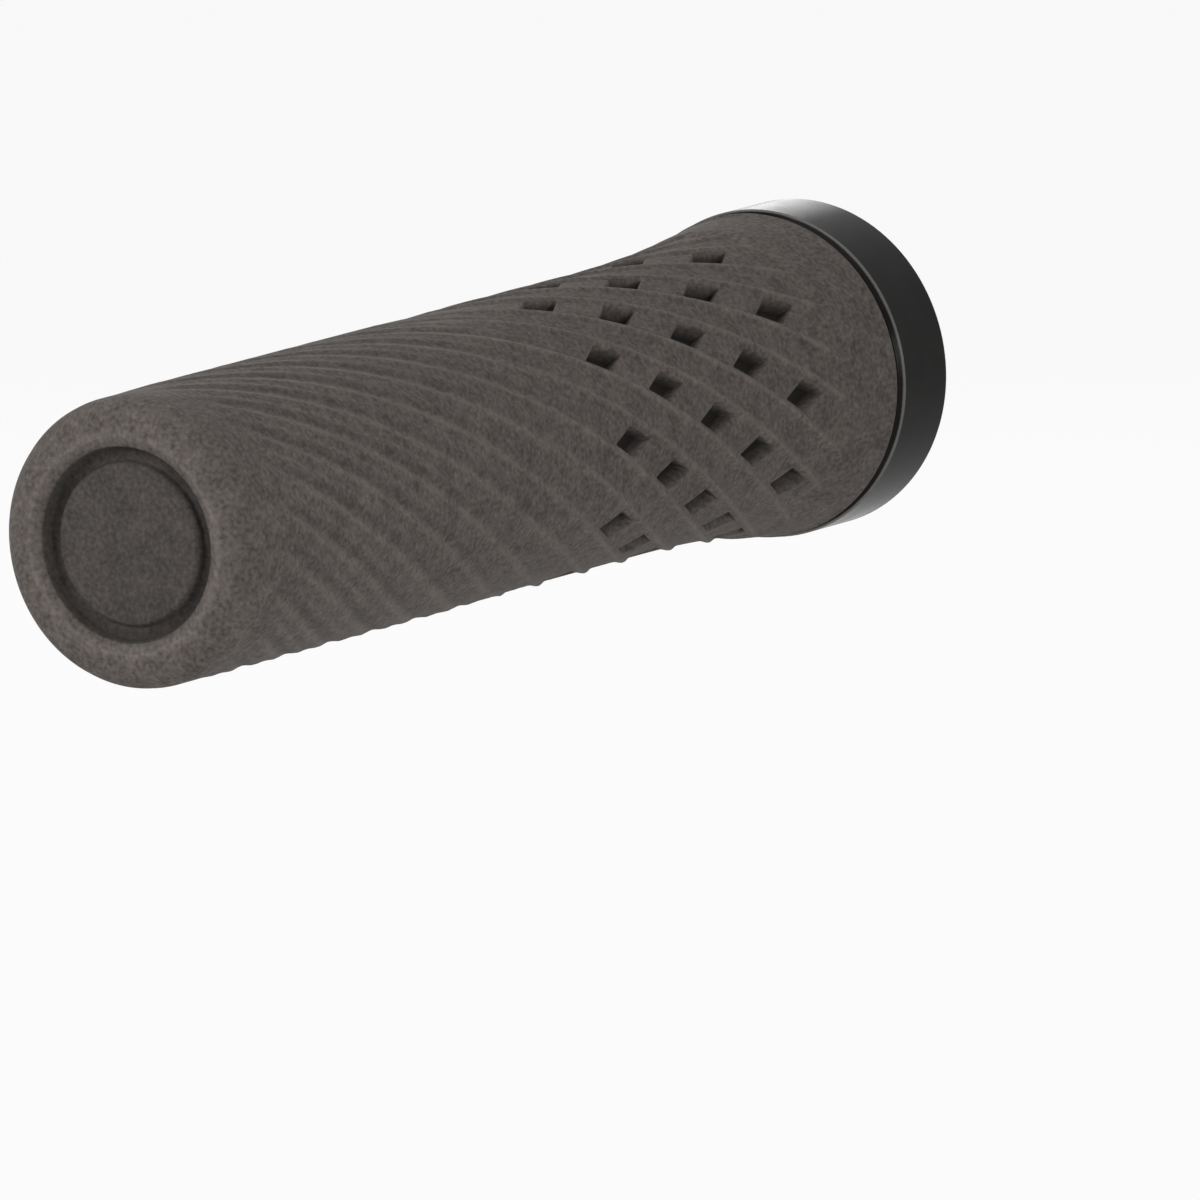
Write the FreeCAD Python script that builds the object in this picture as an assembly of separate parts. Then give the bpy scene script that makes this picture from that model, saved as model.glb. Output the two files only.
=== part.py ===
import FreeCAD, Part
import math
import os

from FreeCAD import Vector

# Lock-on handlebar grip for the right end of a straight bar. All sizes in millimetres.
# Each piece is drawn with the grip's outer end face at x = 0 and the bar along +X, and is
# then moved so that the origin is the centre of the bore's mouth at the inner end. +Z is up.
# Angles about the bar are measured from the top and grow towards -Y.

# Fit on the bar
bar_diameter = 22.2
core_clearance = 0.1
clamp_clearance = 0.05

# Core tube, and the keys that lock it to the collar
core_wall = 1.6
key_count = 4
key_angle = 36.0
key_length = 4.2
key_clearance = 0.15

# Rubber sleeve: wall under the ribs, straight body, flare and smooth band at the inner end
sleeve_length = 127.2
rubber_wall = 2.3
end_wall = 4.5
flare_length = 32.0
flare_rise = 1.9
band_length = 9.0
band_rise = 0.06
band_chamfer = 0.5

# Closed outer end: rounded edge, flat face, dished brow and a sunk disc in a moat
end_inset = 0.12
end_rounding = 3.0
end_smooth_length = 6.0
end_face_width = 0.95
brow_width = 1.2
brow_depth = 0.4
moat_width = 1.7
moat_depth = 2.0
moat_draft = 0.25
disc_depth = 1.1

# Helical ribs, in pairs that each enclose a channel with pits. They stand taller beside the pits.
rib_pairs = 10
rib_lead = 171.0
rib_height = 0.4
outer_rib_height = 0.2
deepening_length = 20.0
rib_width = 1.6
rib_start_height = 0.04
rib_rise_length = 5.0
rib_spread = 0.9

# Pits in the channels between the ribs of each pair
pit_columns = 5
pit_run = 3.5
pit_side_lead = 200.0
pit_depth = 1.8
pit_floor_share = 0.8
pit_inset = 33.4
pit_angle = 85.0

# How finely the helical faces follow the body
station_step = 9.5
face_length = 30.0

# Clamp collar with the boss for its screw
collar_gap = 0.4
collar_width = 9.6
collar_wall = 6.55
collar_chamfer = 0.6
slit_width = 1.6
clamp_angle = 240.0
boss_half_width = 8.6
boss_rise = 2.3
boss_corner = 2.4
boss_foot = 1.6

# Clamp screw
screw_radius = 2.0
screw_length = 12.0
screw_head_radius = 3.5
screw_head_height = 4.0
screw_head_chamfer = 0.4
screw_socket = 3.0
screw_socket_depth = 2.0
screw_reach = 4.2
screw_inner_wall = 2.1
screw_clearance = 0.2

# Sizes that follow from the ones above
bar_radius = bar_diameter / 2
bore_radius = bar_radius + core_clearance
core_radius = bore_radius + core_wall
floor_radius = core_radius + rubber_wall
crest_radius = floor_radius + rib_height
end_radius = crest_radius - end_inset
clamp_radius = bar_radius + clamp_clearance
collar_radius = clamp_radius + collar_wall
collar_start = sleeve_length + collar_gap
collar_middle = collar_start + collar_width / 2
overall_length = collar_start + collar_width
flare_start = sleeve_length - flare_length
flare_arc = (flare_length ** 2 + flare_rise ** 2) / (2 * flare_rise)
band_start = sleeve_length - band_length
rib_pitch_angle = 180.0 / rib_pairs
rib_pitch = rib_lead / rib_pairs / 2
twist = 360.0 / rib_lead
foot_angle = math.degrees(rib_width / 2 / floor_radius)
side_twist = twist + 360.0 / pit_side_lead
pit_row_lag = 2 * (rib_pitch_angle / 2 + rib_spread - foot_angle) / side_twist
plain_row_lag = 2 * (rib_pitch_angle / 2 - rib_spread - foot_angle) / twist
pit_station = sleeve_length - pit_inset
deepening_start = pit_station - rib_pitch * (pit_columns - 1) / 2 - pit_run - deepening_length
boss_top = collar_radius + boss_rise
screw_axis_radius = clamp_radius + screw_inner_wall + screw_radius

AXIS = Vector(1, 0, 0)
ACROSS = Vector(0, 1, 0)
CENTRE = Vector(0, 0, 0)
SAME_PLACE = 1e-4


def polar(station, radius, angle):
    """Point at a distance along the bar, a radius and an angle from the top."""
    turn = math.radians(angle)
    return Vector(station, -radius * math.sin(turn), radius * math.cos(turn))


def flare_at(station):
    """Growth of the sleeve's radius at a station: an arc that leaves the body tangentially."""
    run = max(0.0, station - flare_start)
    return flare_arc - math.sqrt(flare_arc ** 2 - run ** 2)


def rib_height_at(station):
    """Height of the ribs: low on the outer half, then easing up to the full height at the pits."""
    share = min(1.0, max(0.0, (station - deepening_start) / deepening_length))
    return outer_rib_height + (rib_height - outer_rib_height) * share ** 2 * (3 - 2 * share)


def floor_at(station):
    """Radius of the channel floors at a station."""
    return crest_radius - rib_height_at(station) + flare_at(station)


def band_at(station):
    """Radius of the smooth band, which stands just proud of the rib crests."""
    return crest_radius + band_rise + flare_at(station)


def crest_lift(station):
    """Height of the rib crests over the floor: they rise from the smooth end, then stay level."""
    share = min(1.0, (station - end_smooth_length) / rib_rise_length)
    return rib_height_at(station) - (outer_rib_height - rib_start_height) * (1 - share) ** 2


def foot_lift(station):
    """Height of the rib feet over the floor."""
    return 0.0


def divided(first, last, longest):
    """Evenly spaced stations from the first to the last, no further apart than longest."""
    count = math.ceil((last - first) / longest)
    return [first + (last - first) * i / count for i in range(count + 1)]


class Rail:
    """Helical line of a rib, as one smooth curve between two stations."""

    def __init__(self, angle, lift_at, first, last):
        self.angle = angle
        self.lift_at = lift_at
        self.first = first
        self.last = last
        self.curve = Part.BSplineCurve()
        self.curve.interpolate([self.point(station) for station in divided(first, last, station_step)])

    def point(self, station):
        """Point of the rail at a station."""
        radius = floor_at(station) + self.lift_at(station)
        return polar(station, radius, self.angle + twist * (station - pit_station))

    def edges(self, stations):
        """The stretches of the rail between stations that follow each other."""
        cuts = [self.curve.parameter(self.point(station)) for station in stations]
        return [self.curve.toShape(first, last) for first, last in zip(cuts, cuts[1:])]


def strip(first_edges, second_edges):
    """Ruled faces between two chains of edges, one for each pair."""
    return [Part.makeRuledSurface(*pair) for pair in zip(first_edges, second_edges)]


def rib(angle, lag_before, lag_after):
    """The three rails of one rib: foot, crest and foot.

    Each channel starts and ends on a line that lags from one rib to the next, so the feet on
    its two sides cover different stations. The crest is curved where both feet run beside it.
    """
    both_start = end_smooth_length + lag_after
    both_end = band_start - lag_before
    return [
        Rail(angle - foot_angle, foot_lift, end_smooth_length, both_end),
        Rail(angle, crest_lift, both_start, both_end),
        Rail(angle + foot_angle, foot_lift, both_start, band_start),
    ]


def segment(first, last):
    """Straight edge between two points."""
    return Part.LineSegment(first, last).toShape()


def triangle(*corners):
    """Flat face with three corners."""
    return Part.Face(Part.makePolygon(list(corners) + [corners[0]]))


def flanks(before, crest, after):
    """Both sloping faces of a rib, in stretches. The crest is straight at its two ends."""
    inner = divided(crest.first, crest.last, face_length)
    curved = crest.edges(inner)
    tip, shoulder = crest.point(end_smooth_length), crest.point(crest.first)
    far_tip, far_shoulder = crest.point(band_start), crest.point(crest.last)
    faces = strip(before.edges([before.first] + inner), [segment(tip, shoulder)] + curved)
    faces += strip(curved + [segment(far_shoulder, far_tip)], after.edges(inner + [after.last]))
    faces.append(triangle(tip, shoulder, after.point(after.first)))
    faces.append(triangle(far_tip, far_shoulder, before.point(before.last)))
    return faces


def channel_ends(before, after):
    """The two flat ramps at the ends of a channel, from its floor up to a rib's crest."""
    start = [rail.point(end_smooth_length) for rail in (before[1], after[0])]
    start.append(before[2].point(before[2].first))
    end = [rail.point(band_start) for rail in (before[2], after[1])]
    end.append(after[0].point(after[0].last))
    return [triangle(*start), triangle(*end)]


def pit_centres():
    """Stations of the pits along a channel, one rib pitch apart."""
    middle = (pit_columns - 1) / 2
    return [pit_station + rib_pitch * (column - middle) for column in range(pit_columns)]


def plain_floor(near, far):
    """Floor of a channel without pits. Its rulings run along the bar, which keeps it round."""
    stations = divided(near.first, near.last, face_length)
    lagging = [station - plain_row_lag for station in stations]
    return strip(near.edges(stations), far.edges(lagging))


def pit_floor(near, far):
    """Floor of a channel with pits, and the faces of the pits.

    The short sides of the pits run along a steeper helix of the other hand, so each meets
    the far rib at a station that lags behind the one on the near rib.
    """
    pit_ends = []
    for centre in pit_centres():
        pit_ends += [centre + (pit_row_lag - pit_run) / 2, centre + (pit_row_lag + pit_run) / 2]
    lead_in = divided(near.first, pit_ends[0], face_length)
    stations = lead_in + pit_ends[1:] + [near.last]
    lagging = [station - pit_row_lag for station in stations]
    pairs = list(zip(near.edges(stations), far.edges(lagging)))
    first_pit = len(lead_in) - 1
    faces = [Part.makeRuledSurface(*pair) for pair in pairs[:first_pit] + pairs[first_pit + 1::2]]
    for centre, rims in zip(pit_centres(), pairs[first_pit::2]):
        faces += pit((near.angle + far.angle) / 2, centre, rims)
    return faces


def pit(row_angle, centre, rims):
    """Faces of one pit: four drafted walls from its rim down to a smaller floor."""
    angle = row_angle + twist * (centre - pit_station)
    middle = polar(centre, floor_at(centre), angle)
    sink = polar(0, -pit_depth, angle)
    corners = []
    for rim in rims:
        ends = [vertex.Point for vertex in rim.Vertexes]
        corners.append([middle + (end - middle) * pit_floor_share + sink for end in ends])
    floor_edges = [segment(*ends) for ends in corners]
    faces = strip(rims, floor_edges)
    faces.append(Part.makeRuledSurface(*floor_edges))
    for index in (0, 1):
        rim_side = segment(*[rim.Vertexes[index].Point for rim in rims])
        floor_side = segment(*[ends[index] for ends in corners])
        faces.append(Part.makeRuledSurface(rim_side, floor_side))
    return faces


def ribbed_skin():
    """Faces of the ribs, channels and pits, and the outlines of their two ends."""
    half_row = rib_pitch_angle / 2 + rib_spread
    ribs = []
    for row in range(rib_pairs + 1):
        row_angle = pit_angle + row * 2 * rib_pitch_angle
        ribs.append(rib(row_angle - half_row, plain_row_lag, pit_row_lag))
        ribs.append(rib(row_angle + half_row, pit_row_lag, plain_row_lag))
    faces = []
    for index in range(2 * rib_pairs):
        before, after = ribs[index], ribs[index + 1]
        floor_between = plain_floor if index % 2 else pit_floor
        faces += flanks(*before) + floor_between(before[2], after[0]) + channel_ends(before, after)
    rounds = ribs[:2 * rib_pairs]
    starts = [rail.point(end_smooth_length) for rails in rounds for rail in rails[:2]]
    ends = [rail.point(band_start) for rails in rounds for rail in rails[1:]]
    return faces, starts, ends


def line(first, last):
    """Straight edge between two points (x, z) of the XZ plane."""
    return segment(Vector(first[0], 0, first[1]), Vector(last[0], 0, last[1]))


def rounding(centre, radius):
    """Outer edge rounding of the closed end: two eighths of a circle in the XZ plane."""
    points = []
    for angle in (180.0, 157.5, 135.0, 112.5, 90.0):
        turn = math.radians(angle)
        points.append(centre + Vector(radius * math.cos(turn), 0, radius * math.sin(turn)))
    return [Part.Arc(*points[:3]).toShape(), Part.Arc(*points[2:]).toShape()]


def revolve(edges):
    """Skin of revolution about the bar from a chain of edges in the XZ plane."""
    return Part.Wire(edges).revolve(CENTRE, AXIS, 360.0)


def outer_end():
    """Smooth closed end: sunk disc, moat, brow, flat face, rounded edge and a plain stretch."""
    face_radius = end_radius - end_rounding
    brow_radius = face_radius - end_face_width
    moat_radius = brow_radius - brow_width
    disc_radius = moat_radius - moat_width
    corners = [
        (disc_depth, 0),
        (disc_depth, disc_radius),
        (moat_depth, disc_radius + moat_draft),
        (moat_depth, moat_radius - moat_draft),
        (brow_depth, moat_radius),
        (0, brow_radius),
        (0, face_radius),
    ]
    edges = [line(first, last) for first, last in zip(corners, corners[1:])]
    edges += rounding(Vector(end_rounding, 0, face_radius), end_rounding)
    edges.append(line((end_rounding, end_radius), (end_smooth_length, end_radius)))
    return revolve(edges)


def inner_end():
    """Smooth band with its chamfered lip, and the hollow that the core tube fills."""
    lip_start = sleeve_length - band_chamfer
    corners = [
        (band_start, band_at(band_start)),
        (lip_start, band_at(lip_start)),
        (sleeve_length, band_at(lip_start) - band_chamfer),
        (sleeve_length, core_radius),
        (end_wall, core_radius),
        (end_wall, 0),
    ]
    return revolve([line(first, last) for first, last in zip(corners, corners[1:])])


def step_ring(end_skin, radius, outline):
    """Flat face between the round edge of a smooth zone and the ribbed outline inside it."""
    station = outline[0].x
    for edge in end_skin.Edges:
        box = edge.BoundBox
        flat = box.XLength < SAME_PLACE and abs(box.XMin - station) < SAME_PLACE
        if flat and abs(edge.Curve.Radius - radius) < SAME_PLACE:
            wires = [Part.Wire([edge]), Part.makePolygon(outline + outline[:1])]
            return Part.makeFace(wires, "Part::FaceMakerBullseye")


def grip_sleeve():
    """Rubber sleeve: one closed skin, sewn from the two smooth ends and the ribbed stretch."""
    faces, starts, ends = ribbed_skin()
    outer = outer_end()
    inner = inner_end()
    faces += outer.Faces + inner.Faces
    faces.append(step_ring(outer, end_radius, starts))
    faces.append(step_ring(inner, band_at(band_start), ends))
    skin = Part.makeCompound(faces)
    skin.sewShape()
    sleeve = Part.Solid(skin.Shells[0])
    if sleeve.Volume < 0:
        sleeve.reverse()
    return sleeve


def rod(start, length, radius):
    """Cylinder along the bar."""
    return Part.makeCylinder(radius, length, Vector(start, 0, 0), AXIS)


def keys(start, length, inner, outer, width_angle):
    """Ring sectors about the bar, evenly spaced with the collar's slit between two of them."""
    ring = rod(start, length, outer).cut(rod(start, length, inner))
    half_angle = math.radians(width_angle / 2)
    reach = 2 * outer
    side = reach * math.tan(half_angle)
    corners = [Vector(start, 0, 0), Vector(start, side, reach), Vector(start, -side, reach)]
    wedge = Part.Face(Part.makePolygon(corners + corners[:1])).extrude(Vector(length, 0, 0))
    key = ring.common(wedge)
    turns = [clamp_angle + (i + 0.5) * 360.0 / key_count for i in range(key_count)]
    return [key.rotated(CENTRE, AXIS, turn) for turn in turns]


def core_tube():
    """Tube from the closed end to the collar, with keys that reach into the collar."""
    length = collar_start - end_wall
    tube = rod(end_wall, length, core_radius).cut(rod(end_wall, length, bore_radius))
    return tube.fuse(keys(collar_start, key_length, bore_radius, core_radius, key_angle)).removeSplitter()


def screw_rod(first, last, radius):
    """Cylinder on the screw's axis, between two distances from the middle of the slit."""
    return Part.makeCylinder(radius, last - first, Vector(collar_middle, first, screw_axis_radius), ACROSS)


def collar_blank():
    """Ring and screw boss as one chamfered block, with the boss at the top."""
    ring = rod(collar_start, collar_width, collar_radius)
    boss_foot_corner = Vector(collar_start, -boss_half_width, 0)
    boss = Part.makeBox(collar_width, 2 * boss_half_width, boss_top, boss_foot_corner)
    block = ring.fuse(boss).removeSplitter()
    along = [edge for edge in block.Edges if edge.BoundBox.XLength > collar_width - SAME_PLACE]
    sides = [edge for edge in along if abs(abs(edge.CenterOfMass.y) - boss_half_width) < SAME_PLACE]
    corners = [edge for edge in sides if edge.CenterOfMass.z > collar_radius]
    feet = [edge for edge in sides if edge.CenterOfMass.z < collar_radius]
    block = block.makeFillet(boss_foot, feet).makeFillet(boss_corner, corners)
    rims = [edge for edge in block.Edges if edge.BoundBox.XLength < SAME_PLACE]
    return block.makeChamfer(collar_chamfer, rims)


def clamp_collar():
    """Split ring with key slots, a slit through the boss and the seat of its screw."""
    slit = Part.makeBox(collar_width, slit_width, boss_top, Vector(collar_start, -slit_width / 2, 0))
    cutters = [
        rod(collar_start, collar_width, clamp_radius),
        slit,
        screw_rod(0, screw_reach, screw_radius + screw_clearance),
        screw_rod(screw_reach, 2 * collar_radius, screw_head_radius + screw_clearance),
        screw_rod(-boss_half_width - boss_foot, 0, screw_radius),
    ]
    collar = collar_blank().cut(cutters).rotated(CENTRE, AXIS, clamp_angle)
    slot_angle = key_angle + math.degrees(2 * key_clearance / core_radius)
    slots = keys(collar_start, key_length + key_clearance, clamp_radius - key_clearance,
                 core_radius + key_clearance, slot_angle)
    return collar.cut(slots)


def clamp_screw():
    """Socket-head screw: chamfered head, plain shank and a hexagon socket."""
    tip = screw_reach - screw_length
    top = screw_reach + screw_head_height
    shank = screw_rod(tip, screw_reach, screw_radius)
    head = screw_rod(screw_reach, top, screw_head_radius)
    head_rim = [edge for edge in head.Edges if abs(edge.BoundBox.YMin - top) < SAME_PLACE]
    head = head.makeChamfer(screw_head_chamfer, head_rim)
    corner = Vector(collar_middle + screw_socket / math.sqrt(3), top, screw_axis_radius)
    centre = Vector(collar_middle, top, screw_axis_radius)
    hexagon = [centre + FreeCAD.Rotation(ACROSS, 60.0 * i).multVec(corner - centre) for i in range(7)]
    socket = Part.Face(Part.makePolygon(hexagon)).extrude(Vector(0, -screw_socket_depth, 0))
    return head.fuse(shank).cut(socket).removeSplitter().rotated(CENTRE, AXIS, clamp_angle)


parts = {
    "grip_sleeve": grip_sleeve,
    "core_tube": core_tube,
    "clamp_collar": clamp_collar,
    "clamp_screw": clamp_screw,
}

os.makedirs("parts", exist_ok=True)
for name, make in parts.items():
    piece = make()
    solid = piece.Solids[0].translated(Vector(-overall_length, 0, 0))
    print(name, len(piece.Solids), solid.isValid(), round(solid.Volume, 1), len(solid.Faces))
    solid.exportStep(f"parts/{name}.step")
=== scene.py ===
"""Looks of a lock-on handlebar grip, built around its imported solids. Sizes are in millimetres."""
import logging
import math
from dataclasses import dataclass
from enum import Enum
from typing import Any, Optional, Union

import bpy
import numpy as np
from mathutils import Matrix, Vector


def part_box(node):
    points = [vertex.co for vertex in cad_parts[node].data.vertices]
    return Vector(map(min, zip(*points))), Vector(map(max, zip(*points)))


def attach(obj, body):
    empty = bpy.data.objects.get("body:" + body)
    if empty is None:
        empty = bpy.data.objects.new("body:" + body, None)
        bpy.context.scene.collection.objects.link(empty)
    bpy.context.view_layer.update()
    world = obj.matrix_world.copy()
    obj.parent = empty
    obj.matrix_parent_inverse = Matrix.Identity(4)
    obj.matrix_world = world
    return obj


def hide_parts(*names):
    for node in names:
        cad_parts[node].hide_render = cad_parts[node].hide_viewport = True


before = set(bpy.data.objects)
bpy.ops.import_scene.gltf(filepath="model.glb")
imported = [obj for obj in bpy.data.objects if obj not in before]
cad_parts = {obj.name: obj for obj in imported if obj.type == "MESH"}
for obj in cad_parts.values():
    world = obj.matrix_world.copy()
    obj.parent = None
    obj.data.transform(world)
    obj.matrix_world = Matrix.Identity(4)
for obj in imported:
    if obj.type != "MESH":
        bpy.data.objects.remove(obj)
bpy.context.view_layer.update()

LOG = logging.getLogger("grip")
MM = 0.001
BODY = "root"
NOISE_MIDDLE = 0.5
COLOUR_MIX_INPUTS = (0, 6, 7)
COLOUR_MIX_RESULT = 2
WHITE = (1.0, 1.0, 1.0, 1.0)

Colour = tuple[float, float, float, float]
Place = tuple[float, float, float]
Span = tuple[float, float]
Stretch = tuple[float, float, float]
Operand = Union["Value", float]
Sockets = dict[Union[int, str], Any]


def reach(node: str) -> Span:
    """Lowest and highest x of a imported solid, in millimetres, to the nearest micron."""
    low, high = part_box(node)
    return round(low.x / MM, 3), round(high.x / MM, 3)


SLEEVE_LOW, SLEEVE_HIGH = reach("grip_sleeve")
COLLAR_LOW, COLLAR_HIGH = reach("clamp_collar")


class Coat(Enum):
    """How a surface is finished: the roughness that its grain and wear start from."""

    GLOSS = 0.13
    SATIN = 0.42
    MATTE = 0.74


class Value:
    """A shader socket that takes part in Python arithmetic."""

    def __init__(self, graph: "Graph", socket: Optional[bpy.types.NodeSocket]) -> None:
        """Keep the graph and the socket."""
        self.graph = graph
        self.socket = socket

    def math(self, operation: str, *operands: Operand) -> "Value":
        """Add a Math node.

        Args:
            operation: name of the operation.
            operands: values or numbers, in the order of the node's sockets.

        Returns:
            The node's result.
        """
        return self.graph.node("ShaderNodeMath", {"operation": operation}, dict(enumerate(operands)))

    def __add__(self, other: Operand) -> "Value":
        """Sum."""
        return self.math("ADD", self, other)

    __radd__ = __add__

    def __sub__(self, other: Operand) -> "Value":
        """Difference."""
        return self.math("SUBTRACT", self, other)

    def __rsub__(self, other: Operand) -> "Value":
        """Difference with the number first."""
        return self.math("SUBTRACT", other, self)

    def __mul__(self, other: Operand) -> "Value":
        """Product."""
        return self.math("MULTIPLY", self, other)

    __rmul__ = __mul__

    def __abs__(self) -> "Value":
        """The value without its sign."""
        return self.math("ABSOLUTE", self)

    def wave(self) -> "Value":
        """Sine of the value in radians, brought between 0 and 1."""
        return self.math("SINE", self) * 0.5 + 0.5

    def clamped(self) -> "Value":
        """The value kept between 0 and 1."""
        return self.graph.node("ShaderNodeClamp", {}, {"Value": self})


class Graph:
    """Node tree of one material or of the world."""

    def __init__(self, tree: bpy.types.NodeTree) -> None:
        """Keep the tree and empty it."""
        self.tree = tree
        tree.nodes.clear()

    @classmethod
    def of_material(cls, name: str) -> tuple["Graph", bpy.types.Material]:
        """Make a material with an empty tree.

        Args:
            name: the material's name.

        Returns:
            The graph and the material.
        """
        material = bpy.data.materials.new(name)
        material.use_nodes = True
        return cls(material.node_tree), material

    def node(
        self,
        kind: str,
        settings: dict[str, Any],
        sockets: Sockets,
        output: Union[int, str] = 0,
    ) -> Value:
        """Add a node.

        Args:
            kind: the node's type.
            settings: the node's properties, set first.
            sockets: values or links by the name or index of the input.
            output: name or index of the output to return.

        Returns:
            The chosen output, or an empty value for a node that has none.
        """
        node = self.tree.nodes.new(kind)
        for key, setting in settings.items():
            setattr(node, key, setting)
        for key, value in sockets.items():
            if isinstance(value, Value):
                self.tree.links.new(value.socket, node.inputs[key])
            else:
                node.inputs[key].default_value = value
        return Value(self, node.outputs[output] if node.outputs else None)

    def place(self) -> Value:
        """Object coordinates."""
        return self.node("ShaderNodeTexCoord", {}, {}, "Object")

    def mask(self, name: str) -> Value:
        """A number stored on the mesh by name."""
        return self.node("ShaderNodeAttribute", {"attribute_name": name}, {}, "Fac")

    def noise(self, cell: float, detail: float, roughness: float = 0.5) -> Value:
        """Noise in Object coordinates.

        Args:
            cell: size of its features in millimetres.
            detail: number of finer layers.
            roughness: weight of the finer layers.

        Returns:
            A value around the middle of the noise.
        """
        scale = 1 / (cell * MM)
        sockets = {"Vector": self.place(), "Scale": scale, "Detail": detail, "Roughness": roughness}
        return self.node("ShaderNodeTexNoise", {}, sockets)

    def mix(self, share: Operand, first: Any, second: Any) -> Value:
        """Blend of two colours.

        Args:
            share: weight of the second colour.
            first: colour or link.
            second: colour or link.

        Returns:
            The blended colour.
        """
        sockets = dict(zip(COLOUR_MIX_INPUTS, (share, first, second)))
        return self.node("ShaderNodeMix", {"data_type": "RGBA"}, sockets, COLOUR_MIX_RESULT)

    def shader_mix(self, share: Operand, first: Value, second: Value) -> Value:
        """Blend of two shaders, by the share of the second."""
        return self.node("ShaderNodeMixShader", {}, {0: share, 1: first, 2: second})

    def bump(self, height: Value, depth: float, below: Optional[Value] = None) -> Value:
        """Bump normal.

        Args:
            height: relief between 0 and 1.
            depth: the relief's height in millimetres.
            below: a normal that it is laid over.

        Returns:
            The bent normal.
        """
        sockets: Sockets = {"Strength": 1.0, "Distance": depth * MM, "Height": height}
        if below is not None:
            sockets["Normal"] = below
        return self.node("ShaderNodeBump", {}, sockets)

    def finish(self, sockets: Sockets) -> None:
        """End the tree in a Principled shader with these values or links."""
        shader = self.node("ShaderNodeBsdfPrincipled", {}, sockets)
        self.node("ShaderNodeOutputMaterial", {}, {"Surface": shader})


@dataclass(frozen=True)
class RubberFinish:
    """Matte moulded rubber with a dusty grain, paler along painted highlights and worn crests, and dark in
    the pits and along painted shade.
    """

    coat: Coat = Coat.MATTE
    dusty: Colour = (0.138, 0.120, 0.110, 1.0)
    shade: Colour = (0.042, 0.036, 0.032, 1.0)
    # Darkest colour: in the pits, on the darker disc, and as painted shade in the moat and along the grooves.
    pit: Colour = (0.010, 0.009, 0.008, 1.0)
    mean_dust: float = 0.34
    # How far painted highlights and wear lift the tone towards the dusty colour.
    highlight_and_wear_lift: float = 0.35
    mottle_cell: float = 2.4
    mottle_detail: float = 3.0
    mottle_dust: float = 0.8
    mottle_roughness: float = 0.16
    grain_cell: float = 0.5
    grain_detail: float = 1.0
    grain_dust: float = 1.2
    grain_depth: float = 0.03
    fineness: float = 3.0
    fine_detail: float = 2.0
    specular: float = 0.2

    def material(self) -> bpy.types.Material:
        """Build the material: dust in two sizes of grain, a mask of painted highlights and wear, a mask of
        pits and painted shade, grain in relief.

        Returns:
            The material.
        """
        graph, material = Graph.of_material("grip_rubber")
        mottle = graph.noise(self.mottle_cell, self.mottle_detail)
        grain = graph.noise(self.grain_cell, self.grain_detail)
        fine = graph.noise(self.grain_cell / self.fineness, self.fine_detail)
        dust_and_highlight = (mottle - NOISE_MIDDLE) * self.mottle_dust + (grain - NOISE_MIDDLE) * self.grain_dust
        # Painted highlights and worn crests lift the tone.
        dust_and_highlight = dust_and_highlight + graph.mask("highlight_and_wear") * self.highlight_and_wear_lift + self.mean_dust
        tone = graph.mix(dust_and_highlight.clamped(), self.shade, self.dusty)
        coarse_normal = graph.bump(grain, self.grain_depth)
        graph.finish({
            # Dark in the pits and on the disc, and painted shade in the moat and along the grooves.
            "Base Color": graph.mix(graph.mask("pit"), tone, self.pit),
            "Roughness": self.coat.value + mottle * self.mottle_roughness,
            "Specular IOR Level": self.specular,
            "Normal": graph.bump(fine, self.grain_depth / self.fineness, coarse_normal),
        })
        return material


@dataclass(frozen=True)
class AnodisedFinish:
    """Black anodised aluminium with faint lathe lines, and a painted highlight with wear in a thin line along
    both chamfers.
    """

    coat: Coat = Coat.GLOSS
    base: Colour = (0.006, 0.0055, 0.005, 1.0)
    rubbed: Colour = (0.011, 0.010, 0.0095, 1.0)
    # Colour of the painted highlight with wear along the chamfers.
    worn_highlight: Colour = (0.12, 0.115, 0.11, 1.0)
    middle: float = (COLLAR_LOW + COLLAR_HIGH) / 2
    half_width: float = (COLLAR_HIGH - COLLAR_LOW) / 2
    worn_highlight_inset: float = 0.51
    worn_highlight_level: float = 1.0
    worn_highlight_fall: float = 9.0
    smudge_cell: float = 3.5
    smudge_detail: float = 4.0
    smudge_layers: float = 0.6
    smudge_roughness: float = 0.16
    rub_gain: float = 2.0
    rub_start: float = 0.6
    line_pitch: float = 0.14
    line_depth: float = 0.0012
    specular: float = 0.05

    def material(self) -> bpy.types.Material:
        """Build the material: lathe lines along the bar, smudges in the gloss, a painted highlight with wear
        on the chamfers.

        Returns:
            The material.
        """
        graph, material = Graph.of_material("collar_anodised")
        along = graph.node("ShaderNodeSeparateXYZ", {}, {"Vector": graph.place()}, "X")
        lines = (along * (2 * math.pi / (self.line_pitch * MM))).wave()
        smudge = graph.noise(self.smudge_cell, self.smudge_detail, self.smudge_layers)
        # Painted highlight with wear in a thin line along each chamfer.
        from_worn_highlight = abs(along * (1 / MM) - self.middle) - (self.half_width - self.worn_highlight_inset)
        wear_and_painted_light = (self.worn_highlight_level + smudge - abs(from_worn_highlight) * self.worn_highlight_fall).clamped()
        tone = graph.mix((smudge * self.rub_gain - self.rub_start).clamped(), self.base, self.rubbed)
        graph.finish({
            "Base Color": graph.mix(wear_and_painted_light, tone, self.worn_highlight),
            "Roughness": self.coat.value + smudge * self.smudge_roughness,
            "Specular IOR Level": self.specular,
            "Normal": graph.bump(lines, self.line_depth),
        })
        return material


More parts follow.
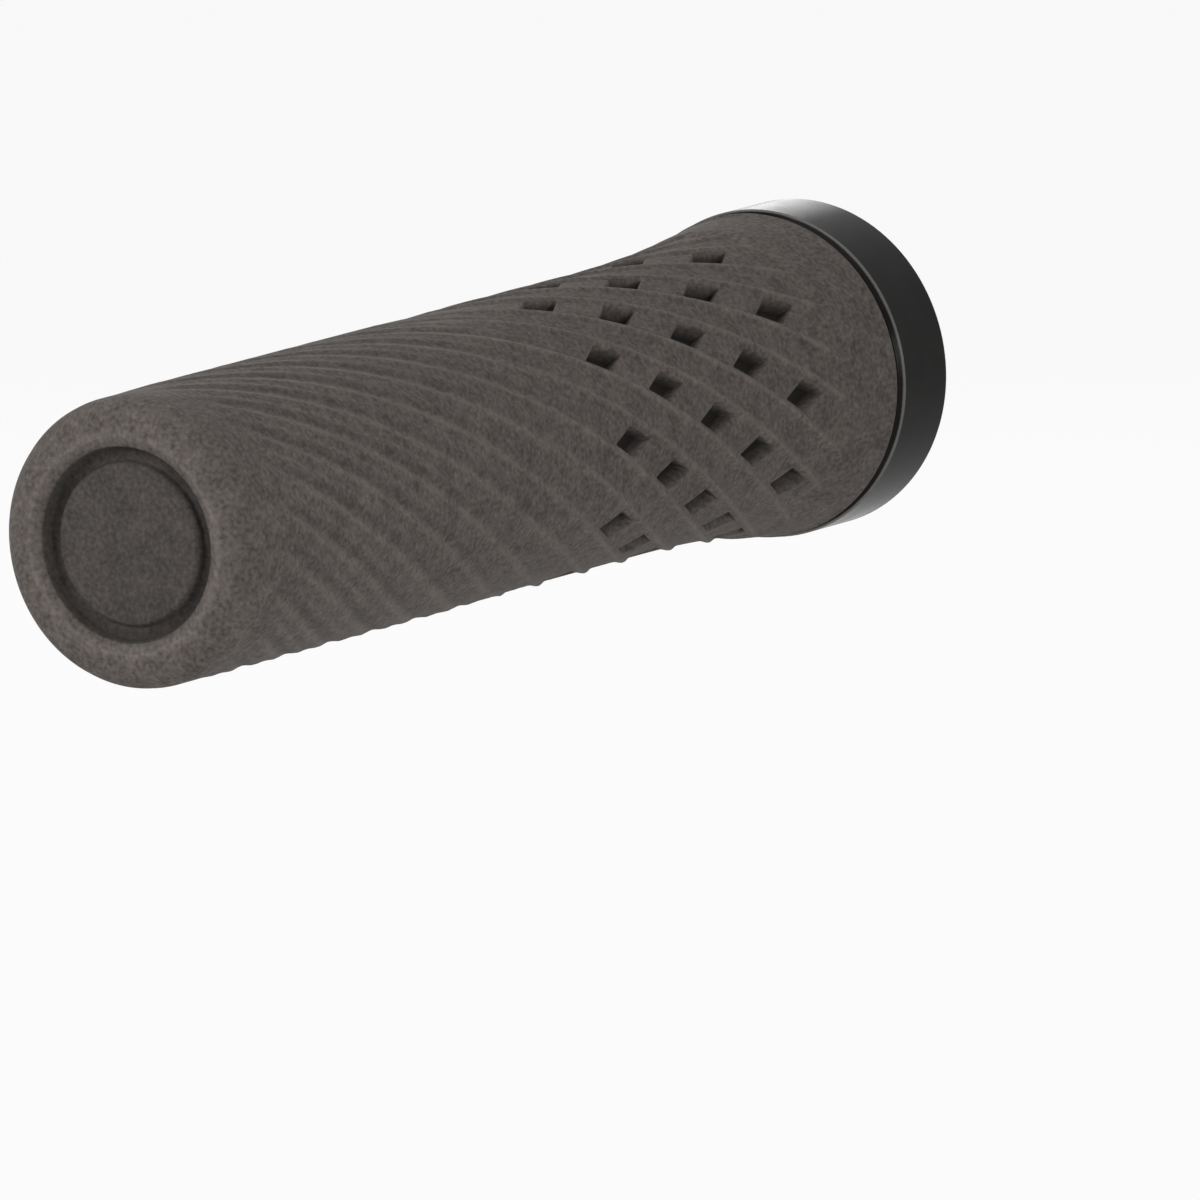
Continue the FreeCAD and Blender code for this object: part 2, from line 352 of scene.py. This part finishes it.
@dataclass(frozen=True)
class MouldedPlasticFinish:
    """Hard black plastic with a fine moulded grain."""

    coat: Coat = Coat.SATIN
    base: Colour = (0.020, 0.020, 0.021, 1.0)
    pale: Colour = (0.034, 0.034, 0.035, 1.0)
    grain_cell: float = 0.5
    grain_detail: float = 3.0
    grain_depth: float = 0.01
    grain_roughness: float = 0.2

    def material(self) -> bpy.types.Material:
        """Build the material: grain in colour, roughness and bump.

        Returns:
            The material.
        """
        graph, material = Graph.of_material("core_plastic")
        grain = graph.noise(self.grain_cell, self.grain_detail)
        graph.finish({
            "Base Color": graph.mix(grain, self.base, self.pale),
            "Roughness": self.coat.value + grain * self.grain_roughness,
            "Normal": graph.bump(grain, self.grain_depth),
        })
        return material


@dataclass(frozen=True)
class BlackOxideFinish:
    """Black oxide on steel, rubbed where a tool has touched it."""

    coat: Coat = Coat.SATIN
    base: Colour = (0.030, 0.030, 0.032, 1.0)
    bare: Colour = (0.16, 0.155, 0.15, 1.0)
    rub_cell: float = 1.1
    rub_detail: float = 4.0
    rub_layers: float = 0.65
    rub_start: float = 0.52
    rub_gain: float = 5.0
    rub_gloss: float = 0.12
    metal: float = 0.65
    rub_metal: float = 0.3
    grain_cell: float = 0.25
    grain_detail: float = 2.0
    grain_depth: float = 0.006

    def material(self) -> bpy.types.Material:
        """Build the material: rubbed spots change colour, metal and gloss together.

        Returns:
            The material.
        """
        graph, material = Graph.of_material("screw_steel")
        spots = graph.noise(self.rub_cell, self.rub_detail, self.rub_layers)
        rub = ((spots - self.rub_start) * self.rub_gain).clamped()
        grain = graph.noise(self.grain_cell, self.grain_detail)
        graph.finish({
            "Base Color": graph.mix(rub, self.base, self.bare),
            "Metallic": self.metal + rub * self.rub_metal,
            "Roughness": self.coat.value - rub * self.rub_gloss,
            "Normal": graph.bump(grain, self.grain_depth),
        })
        return material


def smooth_step(first: float, last: float, value: np.ndarray) -> np.ndarray:
    """Cubic ease: 0 before first, 1 after last, 3x²-2x³ of the share x between them."""
    share = np.clip((value - first) / (last - first), 0.0, 1.0)
    return share * share * (3.0 - 2.0 * share)


def ridge(distance: np.ndarray, half_width: Union[float, np.ndarray]) -> np.ndarray:
    """Rounded ridge: the squared cosine of a quarter turn over its half width, 0 beyond it."""
    share = np.clip(distance / half_width, 0.0, 1.0)
    return np.cos(share * np.pi / 2) ** 2


def rounded_path(corners: np.ndarray, radii: np.ndarray, steps: int) -> np.ndarray:
    """Line with an arc in each inner corner, tangent to both of its sides.

    An arc starts radius·tan(turn/2) before its corner, and goes along the first side by
    radius·sin(a) and across it by radius·(1-cos(a)) while a grows from 0 to the turn.

    Args:
        corners: points of the line, one in each row.
        radii: radius of each inner corner.
        steps: points in each arc.

    Returns:
        Points of the rounded line, one in each row.
    """
    sides = np.diff(corners, axis=0)
    sides /= np.linalg.norm(sides, axis=1, keepdims=True)
    first, second = sides[:-1], sides[1:]
    turn = np.arccos(np.clip((first * second).sum(axis=1), -1.0, 1.0))[:, None]
    across = second - first * np.cos(turn)
    across /= np.linalg.norm(across, axis=1, keepdims=True)
    radius = radii[:, None]
    start = corners[1:-1] - first * radius * np.tan(turn / 2)
    angle = (turn * np.linspace(0.0, 1.0, steps))[:, :, None]
    arcs = start[:, None] + radius[:, :, None] * (
        first[:, None] * np.sin(angle) + across[:, None] * (1.0 - np.cos(angle)))
    return np.vstack([corners[:1], arcs.reshape(-1, 2), corners[-1:]])


def skin_mesh(name: str, points: np.ndarray, masks: dict[str, np.ndarray]) -> bpy.types.Object:
    """Closed skin from a grid whose columns run around and whose end rows are poles.

    Each cell of the grid between the poles is a face with four corners, and the last column
    joins the first. A fan of triangles closes each end on its pole.

    Args:
        name: name of the piece.
        points: rows × columns × 3 places in metres; all columns meet in the first and last row.
        masks: numbers to store on the mesh, one grid for each name.

    Returns:
        The object, shaded smooth.
    """
    rows, columns = points.shape[:2]
    inner = np.arange(1, rows - 1)[:, None] * columns + np.arange(columns) - columns + 1
    after = np.roll(inner, -1, axis=1)
    quads = np.stack([inner[:-1], after[:-1], after[1:], inner[1:]], axis=-1).reshape(-1, 4)
    last = (rows - 2) * columns + 1
    near = np.stack([np.zeros(columns, int), after[0], inner[0]], axis=-1)
    far = np.stack([np.full(columns, last), inner[-1], after[-1]], axis=-1)

    def poled(grid: np.ndarray) -> np.ndarray:
        """The grid as one list, with each pole taken once."""
        flat = grid[1:-1].reshape((rows - 2) * columns, -1)
        return np.vstack([grid[0, :1].reshape(1, -1), flat, grid[-1, :1].reshape(1, -1)])

    mesh = bpy.data.meshes.new(name)
    mesh.from_pydata(poled(points).tolist(), [], quads.tolist() + near.tolist() + far.tolist())
    for mask, grid in masks.items():
        layer = mesh.attributes.new(mask, "FLOAT", "POINT")
        layer.data.foreach_set("value", poled(grid).ravel().astype(np.float32))
    mesh.polygons.foreach_set("use_smooth", np.ones(len(mesh.polygons), bool))
    mesh.update()
    piece = bpy.data.objects.new(name, mesh)
    bpy.context.scene.collection.objects.link(piece)
    return piece


def dress(piece: bpy.types.Object, material: bpy.types.Material) -> None:
    """Give a piece one material in place of those it has."""
    piece.data.materials.clear()
    piece.data.materials.append(material)


@dataclass(frozen=True)
class Streak:
    """Line along the helix for painted highlights, wear and painted shade: its strength, its shift and its
    half width in degrees.
    """

    strength: float
    shift: float
    half_width: float

    def at(self, angle: np.ndarray) -> np.ndarray:
        """Strength at an angle from a rib or groove: a rounded ridge about the shifted line."""
        return self.strength * ridge(np.abs(angle - self.shift), self.half_width)


@dataclass(frozen=True)
class Pattern:
    """Where the points of the body lie among ribs and grooves, in degrees and in shares."""

    from_rib: np.ndarray
    from_groove: np.ndarray
    rib: np.ndarray
    pitted: np.ndarray
    moulded: np.ndarray
    band: np.ndarray


@dataclass
class GripSleeve:
    """Rubber sleeve: closed rounded end, helical ribs with pits between them, flare and band.

    Stations are distances along the bar from the closed end, and angles are degrees around it.
    A pair of values is a stretch of stations over which something changes, or of radii on the
    closed end.
    """

    # Body, band and hollow
    start: float = SLEEVE_LOW
    length: float = SLEEVE_HIGH - SLEEVE_LOW
    crest_radius: float = 15.5
    end_radius: float = 15.38
    band_radius: float = 15.56
    band_start: float = 116.6
    band_run: float = 1.6
    band_delay: float = 1.0
    flare_start: float = 95.2
    flare_arc: float = 270.42
    lip_rounding: float = 0.5
    hollow_radius: float = 12.82
    hollow_rounding: float = 0.2
    end_wall: float = 4.5
    lip_arc_points: int = 4

    # Closed end
    disc_radius: float = 8.5
    disc_depth: float = 1.1
    disc_rounding: float = 0.55
    moat_radius: float = 10.3
    moat_depth: float = 2.0
    moat_draft: float = 0.25
    moat_rounding: float = 0.25
    brow_radius: float = 11.5
    brow_depth: float = 0.65
    brow_foot_rounding: float = 0.4
    brow_rounding: float = 0.6
    end_rounding: float = 3.0
    end_run: float = 3.6
    end_arc_points: int = 7

    # Ribs beside the pits, and grooves with finer lines between them on the outer half
    twist: float = 360.0 / 171.0
    side_twist: float = 360.0 / 200.0
    row_step: float = 36.0
    row_angle: float = 85.0
    anchor: float = 93.8
    rib_angle: float = 9.9
    rib_height: float = 0.32
    rib_near_flank: float = 2.9
    rib_far_flank: float = 3.8
    rib_rise: Span = (5.0, 13.0)
    groove_angle: float = 7.65
    groove_half_width: float = 5.0
    groove_depth: float = 0.22
    fine_half_width: float = 4.0
    fine_depth: float = 0.09
    groove_to_rib: Span = (54.0, 73.0)

    # Pits
    pit_pitch: float = 8.55
    pit_columns: int = 5
    pit_half_run: float = 1.75
    pit_half_angle: float = 6.86
    pit_depth: float = 1.8
    pit_floor_run: float = 0.8
    pit_floor_angle: float = 0.84

    # Columns of the grid, in degrees from the row's middle, the pit's edge, the rib and the land's middle
    floor_columns: tuple[float, ...] = (0.0, 0.9, 1.9, 3.0, 4.2, 5.3)
    wall_columns: tuple[float, ...] = (-1.1, -0.76, -0.36, 0.0)
    rib_columns: tuple[float, ...] = (-2.6, -2.0, -1.4, -0.9, -0.4, 0.0, 0.4, 0.9, 1.5, 2.2, 3.1)
    land_columns: tuple[float, ...] = (-3.7, -2.4, -1.2, 0.0)

    # Rows of the grid, from the pits' ends, or as start, stop and step, and how they lean along the pits
    pit_rows: tuple[float, ...] = (-1.15, -0.5, -0.35, -0.2, 0.0, 0.2, 0.75, 1.65)
    rows_before_pits: tuple[Stretch, ...] = ((4.0, 14.0, 1.0), (14.0, 73.0, 2.5))
    rows_after_pits: tuple[Stretch, ...] = ((115.6, 119.2, 0.45), (119.6, 126.2, 1.3))
    lean_margin: float = 0.4
    lean_rise: Span = (62.0, 72.0)
    lean_fall: Span = (113.4, 118.6)

    # Painted highlights, wear, painted shade and a darker disc
    # Painted highlight along one bank of each groove and of each finer line.
    bank_highlight: Streak = Streak(0.8, 2.5, 3.6)
    fine_highlight: Streak = Streak(0.4, -7.6, 2.6)
    fine_highlight_fade: Span = (20.0, 46.0)
    # Worn rib crests with a painted highlight.
    rib_wear_and_highlight: Streak = Streak(0.9, -0.5, 2.9)
    # Painted shade along the grooves' other bank, lighter further along the bar.
    groove_shade: Streak = Streak(0.25, -2.7, 3.6)
    groove_shade_fade: Span = (20.0, 55.0)
    groove_shade_loss: float = 0.5
    # Painted highlight with wear along the brow of the closed end.
    brow_highlight: float = 0.8
    brow_highlight_width: float = 0.45
    # The disc darker, and painted shade added in the moat.
    disc_darkening: float = 0.46
    moat_shade: float = 0.2
    moat_shade_rise: Span = (8.7, 9.8)
    moat_shade_fall: Span = (10.2, 10.55)
    finish: RubberFinish = RubberFinish()

    def flare(self, station: np.ndarray) -> np.ndarray:
        """Growth of the radius: an arc that leaves the straight body tangentially."""
        run = np.maximum(station - self.flare_start, 0.0)
        return self.flare_arc - np.sqrt(self.flare_arc ** 2 - run ** 2)

    def pit_stations(self) -> np.ndarray:
        """Stations of the pits' middles, evenly spaced about the anchor."""
        return self.anchor + self.pit_pitch * (np.arange(self.pit_columns) - (self.pit_columns - 1) / 2)

    def grid_columns(self) -> np.ndarray:
        """Angles of the grid's columns within a row of pits, closest on pit walls and ribs.

        Returns:
            Angles from the row's middle over one step between rows.
        """
        half = np.concatenate([
            self.floor_columns,
            self.pit_half_angle + np.array(self.wall_columns),
            self.rib_angle + np.array(self.rib_columns),
            self.row_step / 2 + np.array(self.land_columns),
        ])
        return np.concatenate([-half[:0:-1], half[:-1]])

    def grid_rows(self) -> np.ndarray:
        """Stations of the grid's rows along the body, closest at the pits' ends.

        Returns:
            Stations in the order of the grid.
        """
        half = self.pit_half_run + np.array(self.pit_rows)
        around = np.concatenate([-half[::-1], half, [self.pit_pitch / 2]])
        pits = (self.pit_stations()[:, None] + around).ravel()
        before = [np.arange(*stretch) for stretch in self.rows_before_pits]
        after = [np.arange(*stretch) for stretch in self.rows_after_pits]
        return np.concatenate([*before, pits, *after])

    def end_profile(self) -> np.ndarray:
        """Profile of the closed end: sunk disc, moat, dished brow, flat face and rounded edge.

        Returns:
            Stations and radii from the middle of the disc outwards.
        """
        corners = np.array([
            [self.disc_depth, 0.0],
            [self.disc_depth, self.disc_radius],
            [self.moat_depth, self.disc_radius + self.moat_draft],
            [self.moat_depth, self.moat_radius - self.moat_draft],
            [self.brow_depth, self.moat_radius],
            [0.0, self.brow_radius],
            [0.0, self.end_radius],
            [self.end_run, self.end_radius],
        ])
        moat = [self.moat_rounding, self.moat_rounding]
        brow = [self.brow_foot_rounding, self.brow_rounding]
        radii = np.array([self.disc_rounding, *moat, *brow, self.end_rounding])
        return rounded_path(corners, radii, self.end_arc_points)

    def inner_profile(self) -> np.ndarray:
        """Profile from the band's lip round to the middle of the hollow's end.

        Returns:
            Stations and radii from just before the lip inwards.
        """
        lip = float(self.band_radius + self.flare(np.array(self.length)))
        corners = np.array([
            [self.length - 2 * self.lip_rounding, lip],
            [self.length, lip],
            [self.length, self.hollow_radius],
            [self.end_wall, self.hollow_radius],
            [self.end_wall, 0.0],
        ])
        radii = np.array([self.lip_rounding, self.hollow_rounding, self.hollow_rounding])
        return rounded_path(corners, radii, self.lip_arc_points)

    def pattern(self, station: np.ndarray, offset: np.ndarray) -> Pattern:
        """Find where points lie in the pattern.

        A rib runs on each side of a row of pits, and is a rounded ridge with a steeper flank
        on one side. Grooves repeat at half the step between rows. The smooth band begins
        later between the ribs than on them.

        Args:
            station: distance from the closed end.
            offset: angle from the middle of a row of pits.

        Returns:
            Angles from the nearest rib and groove, the rib's ridge, and the shares of the
            stretch with pits, of the patterned body and of the band.
        """
        from_rib = offset - np.where(offset < 0.0, -self.rib_angle, self.rib_angle)
        flank = np.where(from_rib < 0.0, self.rib_near_flank, self.rib_far_flank)
        rib = ridge(np.abs(from_rib), flank)
        step = self.row_step / 2
        from_groove = np.mod(offset - self.groove_angle + step / 2, step) - step / 2
        past_band = station - (self.band_start + self.band_delay * (1.0 - rib))
        return Pattern(
            from_rib=from_rib,
            from_groove=from_groove,
            rib=rib,
            pitted=smooth_step(*self.groove_to_rib, station),
            moulded=smooth_step(*self.rib_rise, station),
            band=smooth_step(0.0, self.band_run, past_band),
        )

    def relief(self, station: np.ndarray, pattern: Pattern) -> np.ndarray:
        """Radius of the ribbed body without its pits.

        Beside the pits it is the crest's radius less the rib height, plus a ridge at each rib.
        On the outer half it is the crest's radius less a ridge at each groove and a finer one
        midway. The two blend, and both ease into the smooth end and the smooth band.

        Args:
            station: distance from the closed end.
            pattern: where the points lie in the pattern.

        Returns:
            The radius.
        """
        from_groove = np.abs(pattern.from_groove)
        groove = ridge(from_groove, self.groove_half_width)
        fine = ridge(self.row_step / 4 - from_groove, self.fine_half_width)
        ridged = self.rib_height * (pattern.rib - 1.0)
        grooved = -self.groove_depth * groove - self.fine_depth * fine
        level = self.crest_radius + grooved + (ridged - grooved) * pattern.pitted
        level = self.end_radius + (level - self.end_radius) * pattern.moulded
        level = level + (self.band_radius - level) * pattern.band
        return level + self.flare(station)

    def wear_and_painted_light(self, station: np.ndarray, pattern: Pattern) -> tuple[np.ndarray, np.ndarray]:
        """Painted highlights, worn crests and painted shade of the body.

        A painted highlight lies along one bank of each groove and of each finer line on the outer
        half, and worn crests with a painted highlight on the ribs beside the pits. Painted shade
        lies along the grooves' other bank. All are rounded ridges about a shifted line, and fade
        along the bar.

        Args:
            station: distance from the closed end.
            pattern: where the points lie in the pattern.

        Returns:
            The shares of painted highlight and wear, and of painted shade.
        """
        fine_share = 1.0 - smooth_step(*self.fine_highlight_fade, station)
        # Painted highlight along one bank of each groove and finer line.
        bank = self.bank_highlight.at(pattern.from_groove) + self.fine_highlight.at(pattern.from_groove) * fine_share
        # Wear and painted highlight on the rib crests.
        rib = self.rib_wear_and_highlight.at(pattern.from_rib)
        highlight_and_wear = (bank + (rib - bank) * pattern.pitted) * pattern.moulded * (1.0 - pattern.band)
        # Painted shade along the grooves' other bank.
        shade_share = 1.0 - self.groove_shade_loss * smooth_step(*self.groove_shade_fade, station)
        shade_and_darkening = self.groove_shade.at(pattern.from_groove) * shade_share
        return highlight_and_wear, shade_and_darkening * pattern.moulded * (1.0 - pattern.pitted)

    def end_highlight_and_darkening(self, radius: np.ndarray) -> tuple[np.ndarray, np.ndarray]:
        """Painted highlight and wear on the brow, and the closed end's darker disc with painted shade in its
        moat: a ridge on the brow, darker still in the moat.

        Args:
            radius: distance from the middle of the end.

        Returns:
            The shares of highlight and wear, and of darkening with painted shade.
        """
        brow = ridge(np.abs(radius - self.brow_radius), self.brow_highlight_width) * self.brow_highlight
        # Darker disc, with painted shade in the moat.
        shade_and_darkening = self.disc_darkening + self.moat_shade * smooth_step(*self.moat_shade_rise, radius)
        return brow, shade_and_darkening * (1.0 - smooth_step(*self.moat_shade_fall, radius))

    def leaned(self, row: np.ndarray, offset: np.ndarray) -> np.ndarray:
        """Stations of the grid's points.

        In the stretch with pits a row leans against the helix, in step with the angle as far
        as the pits' walls, so that both pairs of a pit's sides lie on lines of the grid. The
        lean dies out midway to the next row of pits.

        Args:
            row: station of each row.
            offset: angle of each column from the middle of a row of pits.

        Returns:
            Rows × columns of stations.
        """
        side = np.abs(offset)
        foot = self.pit_half_angle + self.lean_margin
        lean = np.where(side < foot, side, foot * smooth_step(self.row_step / 2, foot, side))
        weight = smooth_step(*self.lean_rise, row) * (1.0 - smooth_step(*self.lean_fall, row))
        return row - weight * lean * np.sign(offset) / (self.twist + self.side_twist)

    def pits(self, row: np.ndarray, offset: np.ndarray) -> np.ndarray:
        """Share of the pits' depth: full on their floor, eased to 0 at their edges.

        Args:
            row: station of each row.
            offset: angle of each column from the middle of a row of pits.

        Returns:
            Rows × columns of shares.
        """
        gap = np.abs(row[:, :, None] - self.pit_stations()).min(axis=2)
        along = smooth_step(self.pit_floor_run * self.pit_half_run, self.pit_half_run, gap)
        floor_angle = self.pit_floor_angle * self.pit_half_angle
        across = smooth_step(floor_angle, self.pit_half_angle, np.abs(offset))
        return (1.0 - along) * (1.0 - across)

    def build(self) -> bpy.types.Object:
        """Work out the skin over rows along the bar and columns around it.

        The columns follow the helix: a column's angle is its own angle plus twist times the
        station's distance from the anchor. A point lies at its station along the bar, and at
        its radius times the sine and cosine of that angle across it.

        Returns:
            The piece, in place.
        """
        around = self.grid_columns()
        count = round(360 / self.row_step)
        offset = np.tile(around, count)[None, :]
        angle = self.row_angle + np.repeat(np.arange(count) * self.row_step, len(around)) + offset

        row = self.grid_rows()[:, None]
        station = self.leaned(row, offset)
        pattern = self.pattern(station, offset)
        pit = self.pits(row, offset)

        def ring(profile: np.ndarray) -> tuple[np.ndarray, np.ndarray]:
            """A profile's stations and radii, repeated in every column."""
            full = np.ones((1, angle.shape[1]))
            return profile[:, :1] * full, profile[:, 1:] * full

        end_station, end_radius = ring(self.end_profile())
        in_station, in_radius = ring(self.inner_profile())
        stations = np.vstack([end_station, station, in_station])
        level = self.relief(station, pattern) - self.pit_depth * pit
        radii = np.vstack([end_radius, level, in_radius])
        turned = np.vstack([end_station, station, np.full_like(in_station, self.length)])
        phi = np.radians(angle + self.twist * (turned - self.anchor))
        points = np.stack([self.start + stations, -radii * np.sin(phi), radii * np.cos(phi)], axis=-1)

        end_highlight_and_wear, end_shade_and_darkening = self.end_highlight_and_darkening(end_radius)
        highlight_and_wear, shade_and_darkening = self.wear_and_painted_light(station, pattern)
        clean = np.zeros_like(in_station)
        # Darkest in the pits and along the painted shade of the grooves.
        dark = np.maximum(pit ** 2, shade_and_darkening)
        # One mask holds painted highlights and wear; the pit mask also holds the darker disc and painted
        # shade.
        masks = {"highlight_and_wear": np.vstack([end_highlight_and_wear, highlight_and_wear, clean]), "pit": np.vstack([end_shade_and_darkening, dark, clean])}
        return skin_mesh("rubber_sleeve", points * MM, masks)

    def dress(self, piece: bpy.types.Object) -> None:
        """Give the sleeve its rubber."""
        dress(piece, self.finish.material())

    def place(self) -> bpy.types.Object:
        """Build and dress the sleeve, and let it stand for its solid.

        Returns:
            The piece.
        """
        piece = self.build()
        self.dress(piece)
        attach(piece, BODY)
        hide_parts("grip_sleeve")
        return piece


@dataclass
class Hardware:
    """Core tube, clamp collar and screw, whose solids are shown with finishes of their own."""

    collar: AnodisedFinish = AnodisedFinish()
    core: MouldedPlasticFinish = MouldedPlasticFinish()
    screw: BlackOxideFinish = BlackOxideFinish()

    def dress(self) -> list[bpy.types.Object]:
        """Give each solid its finish.

        Returns:
            The solids.
        """
        finishes = {"clamp_collar": self.collar, "core_tube": self.core, "clamp_screw": self.screw}
        for node, finish in finishes.items():
            dress(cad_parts[node], finish.material())
        return [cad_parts[node] for node in finishes]


@dataclass(frozen=True)
class Lamp:
    """Square soft lamp: its place, the length of its side and its power in watts."""

    name: str
    place: Place
    side: float
    power: float

    def hang(self, target: Vector) -> None:
        """Hang the lamp so that it faces a point.

        Args:
            target: the point, in metres.
        """
        data = bpy.data.lights.new(self.name, "AREA")
        data.size = self.side * MM
        data.energy = self.power
        lamp = bpy.data.objects.new(self.name, data)
        spot = Vector(self.place) * MM
        turn = (target - spot).to_track_quat("-Z", "Y")
        lamp.matrix_world = Matrix.Translation(spot) @ turn.to_matrix().to_4x4()
        bpy.context.scene.collection.objects.link(lamp)


@dataclass
class Studio:
    """Plain pale floor, soft lamps above, beyond the closed end, in front and behind, and the camera."""

    azimuth: float = -58.5
    elevation: float = 9.83
    distance: float = 3390.6
    aim_along: float = SLEEVE_LOW
    aim_right: float = 49.45
    aim_down: float = 5.6
    lens: float = 981.2
    sensor: float = 36.0
    sight: float = 50000.0
    floor_height: float = -150.0
    floor_size: float = 12000.0
    floor_colour: Colour = (0.86, 0.86, 0.86, 1.0)
    floor_glow: float = 0.92
    sky_light: float = 0.25
    lamps: tuple[Lamp, ...] = (
        Lamp("above", (-70.0, -100.0, 900.0), 900.0, 3.7),
        Lamp("end", (-420.0, 300.0, 180.0), 300.0, 1.9),
        Lamp("front", (-340.0, -380.0, 60.0), 130.0, 1.0),
        Lamp("behind", (700.0, 470.0, 170.0), 320.0, 0.6),
    )

    def axes(self) -> tuple[Vector, Vector, Vector]:
        """Work out how the camera is turned from its azimuth and elevation.

        Returns:
            The camera's right, up and back directions.
        """
        turn, tilt = math.radians(self.azimuth), math.radians(self.elevation)
        right = Vector((math.cos(turn), math.sin(turn), 0.0))
        level = math.cos(tilt)
        back = Vector((math.sin(turn) * level, -math.cos(turn) * level, math.sin(tilt)))
        return right, back.cross(right), back

    def camera(self) -> None:
        """Set the camera far off with a long lens, level with the horizon."""
        right, up, back = self.axes()
        data = bpy.data.cameras.new("camera")
        data.sensor_width = self.sensor
        data.lens = self.lens
        data.clip_end = self.sight * MM
        camera = bpy.data.objects.new("camera", data)
        aim = Vector((self.aim_along, 0.0, 0.0)) + right * self.aim_right - up * self.aim_down
        place = Matrix.Translation((aim + back * self.distance) * MM)
        camera.matrix_world = place @ Matrix((right, up, back)).transposed().to_4x4()
        bpy.context.scene.collection.objects.link(camera)
        bpy.context.scene.camera = camera

    def background_share(self, graph: Graph) -> Value:
        """Tell the rays that see the pale background from those that light the grip.

        Args:
            graph: node tree that uses the share.

        Returns:
            1 for rays from the camera, from gloss and through glass, and 0 for the rest.
        """
        seen = graph.node("ShaderNodeLightPath", {}, {}, "Is Camera Ray")
        gloss = graph.node("ShaderNodeLightPath", {}, {}, "Is Glossy Ray")
        through = graph.node("ShaderNodeLightPath", {}, {}, "Is Transmission Ray")
        return (seen + gloss + through).clamped()

    def floor(self) -> None:
        """Lay a pale floor that looks nearly white, takes a shadow and is clear from below."""
        half = self.floor_size / 2 * MM
        height = self.floor_height * MM
        mesh = bpy.data.meshes.new("floor")
        corners = [(-half, -half, height), (half, -half, height), (half, half, height), (-half, half, height)]
        mesh.from_pydata(corners, [], [(0, 1, 2, 3)])
        floor = bpy.data.objects.new("floor", mesh)
        bpy.context.scene.collection.objects.link(floor)
        graph, material = Graph.of_material("floor")
        lit = graph.node("ShaderNodeBsdfDiffuse", {}, {"Color": self.floor_colour})
        glow = graph.node("ShaderNodeEmission", {}, {"Color": WHITE, "Strength": 1.0})
        share = self.background_share(graph) * self.floor_glow
        above = graph.shader_mix(share, lit, glow)
        from_below = graph.node("ShaderNodeNewGeometry", {}, {}, "Backfacing")
        clear = graph.node("ShaderNodeBsdfTransparent", {}, {})
        surface = graph.shader_mix(from_below, above, clear)
        graph.node("ShaderNodeOutputMaterial", {}, {"Surface": surface})
        dress(floor, material)

    def light(self) -> None:
        """Light the grip with a dim sky, which looks white, and lamps that face its middle."""
        world = bpy.data.worlds.new("studio")
        world.use_nodes = True
        bpy.context.scene.world = world
        graph = Graph(world.node_tree)
        sky = graph.node("ShaderNodeBackground", {}, {"Color": WHITE, "Strength": self.sky_light})
        white = graph.node("ShaderNodeBackground", {}, {"Color": WHITE, "Strength": 1.0})
        surface = graph.shader_mix(self.background_share(graph), sky, white)
        graph.node("ShaderNodeOutputWorld", {}, {"Surface": surface})
        middle = Vector((self.aim_along / 2, 0.0, 0.0)) * MM
        for lamp in self.lamps:
            lamp.hang(middle)

    def place(self) -> None:
        """Set up the camera, the floor and the light."""
        self.camera()
        self.floor()
        self.light()


def main() -> None:
    """Build the pieces in order and report each of them."""
    logging.basicConfig(level=logging.INFO, format="%(name)s: %(message)s")
    bpy.context.scene.view_settings.view_transform = "Standard"
    Studio().place()
    for piece in [GripSleeve().place(), *Hardware().dress()]:
        LOG.info("%s has %d faces", piece.name, len(piece.data.polygons))


if __name__ == "__main__":
    main()
